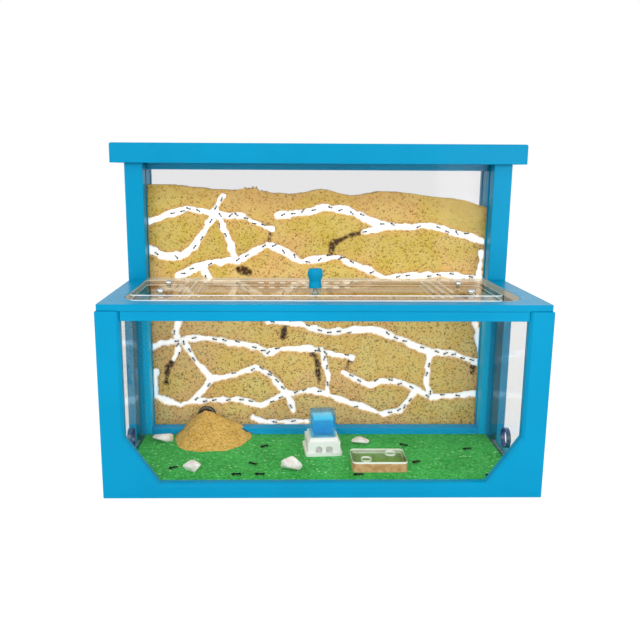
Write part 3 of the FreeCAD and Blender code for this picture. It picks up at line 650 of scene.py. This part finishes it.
# %% [markdown]
# The heap at the door is sand that the ants carried out: a cone against the nest's
# pane, with a slope of loose grains and a ragged foot. In polar form its radius is a
# function of the angle, and its height falls along each ray. The foot is a squarish
# oval: the powers of its two shares add up to 1 as in a circle, but with 2.5 for 2.


# %% Heap of sand
APEX_TO_WALL = 4.5 * MM
REACH_PAST_WALL = 12 * MM
REACH_LEFT = 3 * MM
RISE = 0.8 * MM
SQUARISH = 2.5
RAGGED = 0.06
SLOPE_POWER = 1.05
OVER_TOP = 1.03
FINE_BUMPS = 0.7
BROAD_BUMPS = 1.2


def heap_of_sand(rings=70, rays=150):
    """Rings of points from the apex to the foot, a little past the mound's own box.

    The radius is the squarish oval's at each angle, and the height falls from the
    apex with a power of the distance, cut off level at the top.
    """
    low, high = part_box("sand_mound")
    wall = high.y
    out = np.linspace(0, 1, rings)[:, None].repeat(rays, 1)
    angle = np.linspace(0, 2 * np.pi, rays, endpoint=False)[None, :].repeat(rings, 0)
    apex = np.array([DOOR[0] * MM, wall - APEX_TO_WALL])
    left = low.x - REACH_LEFT
    reach_x = np.where(np.cos(angle) > 0, high.x - apex[0], apex[0] - left)
    reach_y = np.where(np.sin(angle) > 0, wall - apex[1] + REACH_PAST_WALL,
                       apex[1] - low.y)
    ragged = 1 - RAGGED * rough_field(angle * 9, angle * 0, 1.0, 5)
    stretch = np.abs(np.cos(angle) / reach_x) ** SQUARISH
    stretch = stretch + np.abs(np.sin(angle) / reach_y) ** SQUARISH
    radius = stretch ** (-1 / SQUARISH) * ragged
    x = apex[0] + radius * out * np.cos(angle)
    y = apex[1] + radius * out * np.sin(angle)
    x, y = np.clip(x, left, high.x), np.clip(y, low.y, wall)
    tall = high.z - low.z + RISE
    slope = 1 - out ** SLOPE_POWER
    bumps = hills(x / MM, y / MM, 1.5, 3) * FINE_BUMPS * MM
    bumps = bumps + hills(x / MM, y / MM, 5.0, 4) * BROAD_BUMPS * MM
    edge = smooth_step(1.0, 0.9, out)
    z = np.clip(low.z + tall * slope * OVER_TOP + bumps * edge, low.z, low.z + tall)
    rail_low, rail_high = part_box("nest_front_rail")
    y = np.where(z < rail_high.z, np.minimum(y, rail_low.y), y)
    top = np.stack([x, y, z], -1)
    foot = top[-1:].copy()
    foot[..., Z] = np.where(foot[..., Y] > rail_low.y, rail_high.z, low.z)
    middle = np.broadcast_to([[apex[0], apex[1], low.z]], foot.shape)
    sheet = np.concatenate([top, foot, middle])
    return sheet.reshape(-1, 3), grid_faces(rings + 2, rays, closed=True)


def loose_sand():
    """Two tans in clouds, with pale and dark grains."""
    finish = Finish("loose_sand", roughness=0.95)
    grain = finish.grain(900.0)
    clouds = finish.between(finish.noise(60.0, 4.0), 0.35, 0.65)
    body = finish.blend(clouds, paint(206, 160, 62), paint(228, 184, 92))
    body = finish.blend(finish.between(grain, 0.4, 1.0) * 0.5, body, paint(250, 218, 136))
    body = finish.blend((1 - finish.between(grain, 0.0, 0.3)) * 0.6, body, paint(136, 92, 30))
    finish.colour(body)
    finish.bump(grain + finish.noise(800.0), 0.6, 0.0007)
    return finish.material


points, faces = heap_of_sand()
heap = add_piece("sand_heap", points, faces, "habitat", loose_sand())
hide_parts("sand_mound")
print("heap of sand has", len(heap.data.polygons), "faces")

# %% [markdown]
# The pebbles are broken marble: a ball whose radius is cut back by a few flat
# planes, which leaves facets with soft corners. Each fills its own piece's box.


# %% Pebbles
CUTS = 9
CORNER_SHARPNESS = 22
DENTS = 0.03
BURIED = 0.18


def pebble(name, seed, rows=36, columns=60):
    """A ball cut by random planes, then stretched to the box of its frame piece.

    The radius is a soft minimum of the cuts: a mean of high negative powers.
    """
    random = np.random.default_rng(seed)
    tilt = np.linspace(0, np.pi, rows)[:, None].repeat(columns, 1)
    turn = np.linspace(0, 2 * np.pi, columns, endpoint=False)[None, :].repeat(rows, 0)
    ball = np.stack([np.sin(tilt) * np.cos(turn), np.sin(tilt) * np.sin(turn),
                     np.cos(tilt)], -1)
    planes = random.normal(size=(CUTS, 3))
    planes /= np.linalg.norm(planes, axis=1)[:, None]
    reach = random.uniform(0.52, 0.85, CUTS)
    lean = np.maximum(ball @ planes.T, 1e-3)
    limits = np.concatenate([reach / lean, np.ones(lean.shape[:2] + (1,))], -1)
    radius = (limits ** -CORNER_SHARPNESS).mean(-1) ** (-1 / CORNER_SHARPNESS)
    shape = ball * radius[..., None]
    shape = shape + ball * hills(turn * 6, tilt * 6, 1.0, seed)[..., None] * DENTS
    low, high = (np.array(corner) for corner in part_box(name))
    size = shape.reshape(-1, 3)
    spread = (size - size.min(0)) / (size.max(0) - size.min(0))
    spread[:, Z] = np.clip(spread[:, Z] * (1 + BURIED) - BURIED, 0, 1)
    return low + spread * (high - low), grid_faces(rows, columns, closed=True)


marble = Finish("white_marble", roughness=0.55)
marble.colour(marble.blend(marble.between(marble.noise(220.0, 4.0), 0.4, 0.7),
                           paint(240, 237, 232), paint(222, 210, 206)))
marble.bump(marble.noise(700.0), 0.3, 0.0004)
for seed, name in enumerate(("left_rear_pebble", "left_front_pebble", "middle_pebble",
                             "rear_pebble")):
    points, faces = pebble(name, seed + 20)
    stone = add_piece("marble_" + name, points, faces, "habitat",
                      marble.material)
    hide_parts(name)
    print(name, "has", len(stone.data.polygons), "faces")

# %% [markdown]
# The drinker is a white moulded foot with a clear tank on it. The tank is tinted by
# the water, which is darker blue towards its bottom. Both glow as painted light, and
# a thin layer at the top of each, the tank's rim and the water's level, is a painted highlight.

# %% Drinker and feeder
LEVEL_HIGHLIGHT_LAYER = 1.2 * MM
LIT_TOP_STRIP = 1.6 * MM
moulded = Finish("white_moulding", base_color=paint(232, 232, 230), roughness=0.45)
moulded.bump(moulded.noise(300.0), 0.15, 0.0003)
dress(moulded.material, "drinker_base")
ease_edges("drinker_base", 0.4 * MM)


def tinted_clear(name, tint, strength, colour, glow, block, bottom_and_highlight):
    """A clear block: mostly see-through, with a share of its own colour.

    Its two colours at the block's bottom and in its top layer are given last; the top
    layer's colour is a painted highlight, and glow is painted light.
    """
    finish = Finish(name, roughness=0.15, emission_strength=glow)
    low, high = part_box(block)
    height = finish.place(Z)
    body = finish.blend(finish.between(height, low.z, high.z), bottom_and_highlight[0], colour)
    body = finish.blend(height.above(high.z - LEVEL_HIGHLIGHT_LAYER), body, bottom_and_highlight[1])
    finish.colour(body)
    # The block glows as painted light.
    finish.feed(finish.surface, "Emission Color", body)
    own = Sum(finish, finish.surface.outputs[0])
    share = strength + (0.6 - 0.6 * strength) * finish.slant() ** 4.0
    finish.feed(finish.output, "Surface", finish.mixed(share, finish.see_through(tint), own))
    return finish.material


dress(tinted_clear("tank_clear", (0.66, 0.94, 1.0, 1), 0.1, paint(120, 225, 250), 0.2,
                   "drinker_tank", (paint(70, 200, 240), paint(215, 250, 255))),
      "drinker_tank")
dress(tinted_clear("water_blue", (0.02, 0.55, 0.95, 1), 0.78, paint(0, 176, 222), 0.45,
                   "drinker_water", (paint(0, 116, 190), paint(130, 230, 250))),
      "drinker_water")


def tray_finish():
    """Tan in front, and green on the rear half and on the faces that look up.

    The rear half's upright faces are painted pale in a strip along the top: painted light from
    above.
    """
    finish = Finish("tan_tray", roughness=0.6)
    speckle = finish.between(finish.noise(300.0, 4.0), 0.35, 0.65)
    tan = finish.blend(speckle, paint(186, 132, 80), paint(216, 170, 120))
    green = finish.blend(speckle, paint(112, 162, 58), paint(136, 178, 84))
    upward = finish.looks(Z).above(FACES_IT)
    low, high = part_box("feeder_tray")
    rear = finish.place(Y).above((low.y + high.y) / 2)
    # Painted light: a pale strip along the top of the rear upright faces.
    top = finish.place(Z).above(high.z - LIT_TOP_STRIP)
    wall = finish.blend(top, green, paint(228, 234, 220))
    finish.colour(finish.blend(upward, finish.blend(rear, tan, wall), green))
    finish.bump(finish.noise(400.0), 0.2, 0.0003)
    return finish.material


dress(tray_finish(), "feeder_tray")


# %% [markdown]
# The lid's screws are bright steel with a sunk socket, and the knob is turned from
# blue rod. Both are lathe work: a profile of radius and height spun round.


# %% Turned pieces
SCREW = [(0, -6.7), (1.5, -6.7), (1.5, 0), (2.7, 0), (2.68, 0.6), (2.3, 1.4), (1.6, 1.95),
         (1.35, 2.05), (1.3, 0.9), (0, 0.9)]
HEAD_RADIUS = 2.7 * MM
KNOB = [(1.6, 0), (4.7, 0), (4.75, 0.4), (4.72, 1.4), (4.4, 2.8), (4.22, 4.2), (4.35, 5.2),
        (4.85, 6.6), (5.35, 8.2), (5.48, 9.4), (5.4, 10.6), (5.15, 12), (4.85, 12.9),
        (4.4, 13.35), (0, 13.4), (0, 8), (1.6, 8)]


def turned(profile, centre, columns=48):
    """Spin a profile of (radius, height) in mm round the upright line at centre."""
    radius, height = np.array(profile, float).T * MM
    turn = np.linspace(0, 2 * np.pi, columns, endpoint=False)
    x = centre[0] + radius[:, None] * np.cos(turn)
    y = centre[1] + radius[:, None] * np.sin(turn)
    z = centre[2] + height[:, None] + 0 * turn
    return np.stack([x, y, z], -1).reshape(-1, 3), grid_faces(len(profile), columns, True)


def corner_screws():
    """Four screws in the corners of their box: a domed head with a socket, and a shank."""
    low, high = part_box("lid_screws")
    lid_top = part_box("lid_plate")[1].z
    parts = []
    for x in (low.x + HEAD_RADIUS, high.x - HEAD_RADIUS):
        for y in (low.y + HEAD_RADIUS, high.y - HEAD_RADIUS):
            parts.append(turned(SCREW, (x, y, lid_top), columns=24))
    return joined(parts)


steel = Finish("screw_steel", base_color=paint(205, 208, 212), metallic=1.0, roughness=0.25)
steel.bump(steel.noise(1500.0), 0.1, 0.0001)
points, faces = corner_screws()
screws = add_piece("button_screws", points, faces, "lid", steel.material)
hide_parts("lid_screws")
dress(steel.material, "knob_screw")

knob_low, knob_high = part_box("knob")
knob_centre = ((knob_low.x + knob_high.x) / 2, (knob_low.y + knob_high.y) / 2, knob_low.z)
points, faces = turned(KNOB + KNOB[:1], knob_centre)
knob = add_piece("turned_knob", points, faces, "lid", blue)
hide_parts("knob")
print("knob stands", round((knob_high.z - knob_low.z) / MM, 1), "mm tall")

# %% [markdown]
# The ants give the habitat its scale. One ant is three little eggs in a row with
# six bent legs. It is built once, lying along the first axis with its feet close to
# height 0, and an array product turns and moves copies of it to their places.

# %% One ant
KNEE_HEIGHT = 0.75
LEG_RADIUS = 0.12
FOOT_OUT = 1.5
HIP_OUT = 0.2
HIPS_AND_FEET = [(-0.35, -1.6), (0.15, 0.2), (0.5, 1.7)]


def egg(centre, size, rows=5, columns=7):
    """A ball of few faces, stretched to a size along each axis."""
    tilt = np.linspace(0, np.pi, rows)[:, None]
    turn = np.linspace(0, 2 * np.pi, columns, endpoint=False)[None, :]
    ball = np.stack([np.cos(tilt) + 0 * turn, np.sin(tilt) * np.cos(turn),
                     np.sin(tilt) * np.sin(turn)], -1).reshape(-1, 3)
    return np.array(centre) + ball * np.array(size), grid_faces(rows, columns, True)


def leg(foot, hip):
    """A thin three-sided rod from hip to knee to foot."""
    knee = [(foot[0] + hip[0]) / 2, (foot[1] + hip[1]) / 2, KNEE_HEIGHT]
    turn = np.arange(3) * 2 * np.pi / 3
    ring = LEG_RADIUS * np.stack([np.cos(turn), np.sin(turn), 0 * turn], -1)
    path = np.array([hip, knee, foot])
    return (path[:, None] + ring).reshape(-1, 3), grid_faces(3, 3, True)


def one_ant():
    """Abdomen, middle and head in a row, and three legs on each side."""
    parts = [egg((-1.5, 0, 0.45), (1.05, 0.7, 0.5)), egg((0.1, 0, 0.45), (0.8, 0.42, 0.35)),
             egg((1.45, 0, 0.45), (0.7, 0.58, 0.4))]
    for side in (-1, 1):
        for hip, foot in HIPS_AND_FEET:
            parts.append(leg((foot, side * FOOT_OUT, 0.03), (hip, side * HIP_OUT, 0.4)))
    return joined(parts)


def crowd(name, places, finish):
    """Copies of the ant, each at a place: (centre, along, across, up), in mm.

    A point of a copy is the centre plus the ant's three numbers times its three axes.
    """
    ant, quads = one_ant()
    centres = np.array([p[0] for p in places])
    axes = np.array([p[1:] for p in places])
    points = centres[:, None] + np.einsum("pk,nkj->npj", ant, axes)
    faces = quads[None] + np.arange(len(places))[:, None, None] * len(ant)
    return add_piece(name, points.reshape(-1, 3) * MM, faces.reshape(-1, 4), "habitat",
                     finish)


# %% [markdown]
# In the tunnels the ants are seen from above: their backs are towards the pane. They
# are strung along every white tunnel a few millimetres apart, with gaps and a little
# disorder. On the green floor ten ants are placed one by one.

# %% Ants in the tunnels and on the floor
NEST_EDGE = 131
MISSING = 0.3  # the share of the ants that is left out
SWING = 0.3  # how far an ant points off the tunnel's direction, in radians
STRAY = 1.3  # how far an ant walks off the tunnel's middle, in mm
SUNK_IN = 1.6  # how far an ant's feet are behind the sand's front face, in mm
# Each ant on the floor: its place (across, back) in mm and the way it points, in radians.
FLOOR_ANTS = [(-42, 5, 0.6), (-108, -37, 0.5), (-50, -30, -0.6), (-61, -49, 0.1), (-44, -49, 0.0),
              (27, -50, 0.0), (73, -27, 0.5), (69, 7, -0.6), (118, -1, 0.1), (122, -51, 0.3)]


def tunnel_ants(step=8.0, size=0.95):
    """A place at most steps along the routes, turned and moved a little at random."""
    random = np.random.default_rng(3)
    places = []
    front = sand_low.y / MM
    for _, route in TUNNELS:
        for start, end in zip(route, route[1:]):
            way = np.subtract(end, start)
            length = math.hypot(*way)
            for at in np.arange(step * random.random(), length, step):
                x, z = np.array(start) + way * at / length
                if abs(x) > NEST_EDGE or random.random() < MISSING:
                    continue
                lean = math.atan2(way[1], way[0]) + random.normal(0, SWING)
                side = random.normal(0, STRAY)
                centre = (x - math.sin(lean) * side, front + SUNK_IN,
                          z + math.cos(lean) * side)
                along = (math.cos(lean) * size, 0, math.sin(lean) * size)
                across = (-math.sin(lean) * size, 0, math.cos(lean) * size)
                places.append((centre, along, across, (0, -size, 0)))
    return places


def floor_ants(size=1.6):
    """Places on the green floor, where an ant stands upright."""
    places = []
    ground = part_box("floor_sand")[1].z / MM
    for x, y, turn in FLOOR_ANTS:
        along = (math.cos(turn) * size, math.sin(turn) * size, 0)
        across = (-math.sin(turn) * size, math.cos(turn) * size, 0)
        places.append(((x, y, ground), along, across, (0, 0, size)))
    return places


shell = Finish("ant_shell", base_color=paint(8, 6, 6), roughness=0.5, specular_ior_level=0.15)
shell.bump(shell.noise(3000.0), 0.1, 0.0001)
in_tunnels = tunnel_ants()
crowd("ants_in_nest", in_tunnels, shell.material)
crowd("ants_on_floor", floor_ants(), shell.material)
print(len(in_tunnels), "ants in the tunnels")

# %% [markdown]
# The studio: a white floor, a white surround that mirrors and panes see, and three
# soft lamps. The floor keeps a faint shadow under the box.


# %% Floor, world and lamps
def white_world():
    """An even white surround, as bright as white paper."""
    world = bpy.data.worlds.new("studio")
    world.use_nodes = True
    back = world.node_tree.nodes["Background"]
    back.inputs["Color"].default_value = (1, 1, 1, 1)
    back.inputs["Strength"].default_value = 1.0
    bpy.context.scene.world = world


def seen_directly(finish):
    """1 for what the camera, a mirror or a pane looks at, and 0 for light."""
    path = lambda kind: finish.node("ShaderNodeLightPath", {}, {}, kind)
    seen = path("Is Camera Ray").larger(path("Is Glossy Ray"))
    return seen.larger(path("Is Transmission Ray"))


def white_floor(size=6.0, glow=0.85):
    """A floor that mostly glows white, and for the rest is lit and takes the shadow."""
    corners = np.array([(-1, -1, 0), (1, -1, 0), (1, 1, 0), (-1, 1, 0)]) * size
    mesh = bpy.data.meshes.new("studio_floor")
    mesh.from_pydata(corners.tolist(), [], [[0, 1, 2, 3]])
    finish = Finish("studio_white", base_color=(0.9, 0.9, 0.9, 1), roughness=0.9)
    light = finish.node("ShaderNodeEmission", {}, {"Color": (1, 1, 1, 1), "Strength": 1.06})
    own = Sum(finish, finish.surface.outputs[0])
    share = seen_directly(finish) * glow
    finish.feed(finish.output, "Surface", finish.mixed(share, own, light))
    mesh.materials.append(finish.material)
    floor = bpy.data.objects.new("studio_floor", mesh)
    bpy.context.scene.collection.objects.link(floor)


def soft_lamp(name, place, target, size, power):
    """A square lamp at a place, aimed at a target, in metres and watts."""
    lamp = bpy.data.lights.new(name, "AREA")
    lamp.size = size
    lamp.energy = power
    thing = bpy.data.objects.new(name, lamp)
    thing.location = place
    way = np.subtract(target, place)
    yaw = math.atan2(way[1], way[0]) - math.pi / 2
    pitch = math.atan2(math.hypot(way[0], way[1]), -way[2])
    thing.rotation_euler = (pitch, 0, yaw)
    bpy.context.scene.collection.objects.link(thing)


white_world()
white_floor()
soft_lamp("key", (-0.5, -1.2, 0.9), (0, 0, 0.1), 0.9, 9)
soft_lamp("fill", (0.8, -1.3, 0.4), (0, 0, 0.1), 0.9, 7)
soft_lamp("rear", (0.2, 1.1, 1.0), (0, 0, 0.15), 0.9, 4)
bpy.context.scene.view_settings.view_transform = "Standard"

# %% [markdown]
# The camera stands where the photographer stood: a little left of the middle, half
# a metre in front, and looking down by a fifth of a radian. The lens is given by its
# focal length in pixels, for a picture of 640 by 640.

# %% Camera
CAMERA_PLACE = (-0.0281, -0.5390, 0.2202)
FOCAL_PIXELS = 726.06
PICTURE_PIXELS = 640
SIGHT_CENTRE_X = 294.6
PITCH, ROLL, YAW = 0.204, 0.005, 0.017


def camera_axes():
    """Rows right, down and ahead: turned about the upright, then tilted, then rolled."""
    turn = np.array([[math.cos(YAW), -math.sin(YAW), 0], [math.sin(YAW), math.cos(YAW), 0],
                     [0, 0, 1]])
    level = np.array([[1, 0, 0], [0, 0, -1], [0, 1, 0]])
    tilt = np.array([[1, 0, 0], [0, math.cos(PITCH), -math.sin(PITCH)],
                     [0, math.sin(PITCH), math.cos(PITCH)]])
    roll = np.array([[math.cos(ROLL), -math.sin(ROLL), 0], [math.sin(ROLL), math.cos(ROLL), 0],
                     [0, 0, 1]])
    return roll @ tilt @ level @ turn


def place_camera():
    """A pinhole camera: its axes point right, up and back, and its sight is shifted."""
    lens = bpy.data.cameras.new("camera")
    lens.sensor_width = 36.0
    lens.lens = lens.sensor_width * FOCAL_PIXELS / PICTURE_PIXELS
    lens.shift_x = (PICTURE_PIXELS / 2 - SIGHT_CENTRE_X) / PICTURE_PIXELS
    lens.clip_start = 0.01
    camera = bpy.data.objects.new("camera", lens)
    right, down, ahead = camera_axes()
    columns = [right, -down, -ahead, CAMERA_PLACE]
    matrix = np.eye(4)
    matrix[:3] = np.array(columns).T
    camera.matrix_world = Matrix(matrix.tolist())
    bpy.context.scene.collection.objects.link(camera)
    bpy.context.scene.camera = camera
    print("the lens is", round(lens.lens, 1), "mm long")


place_camera()
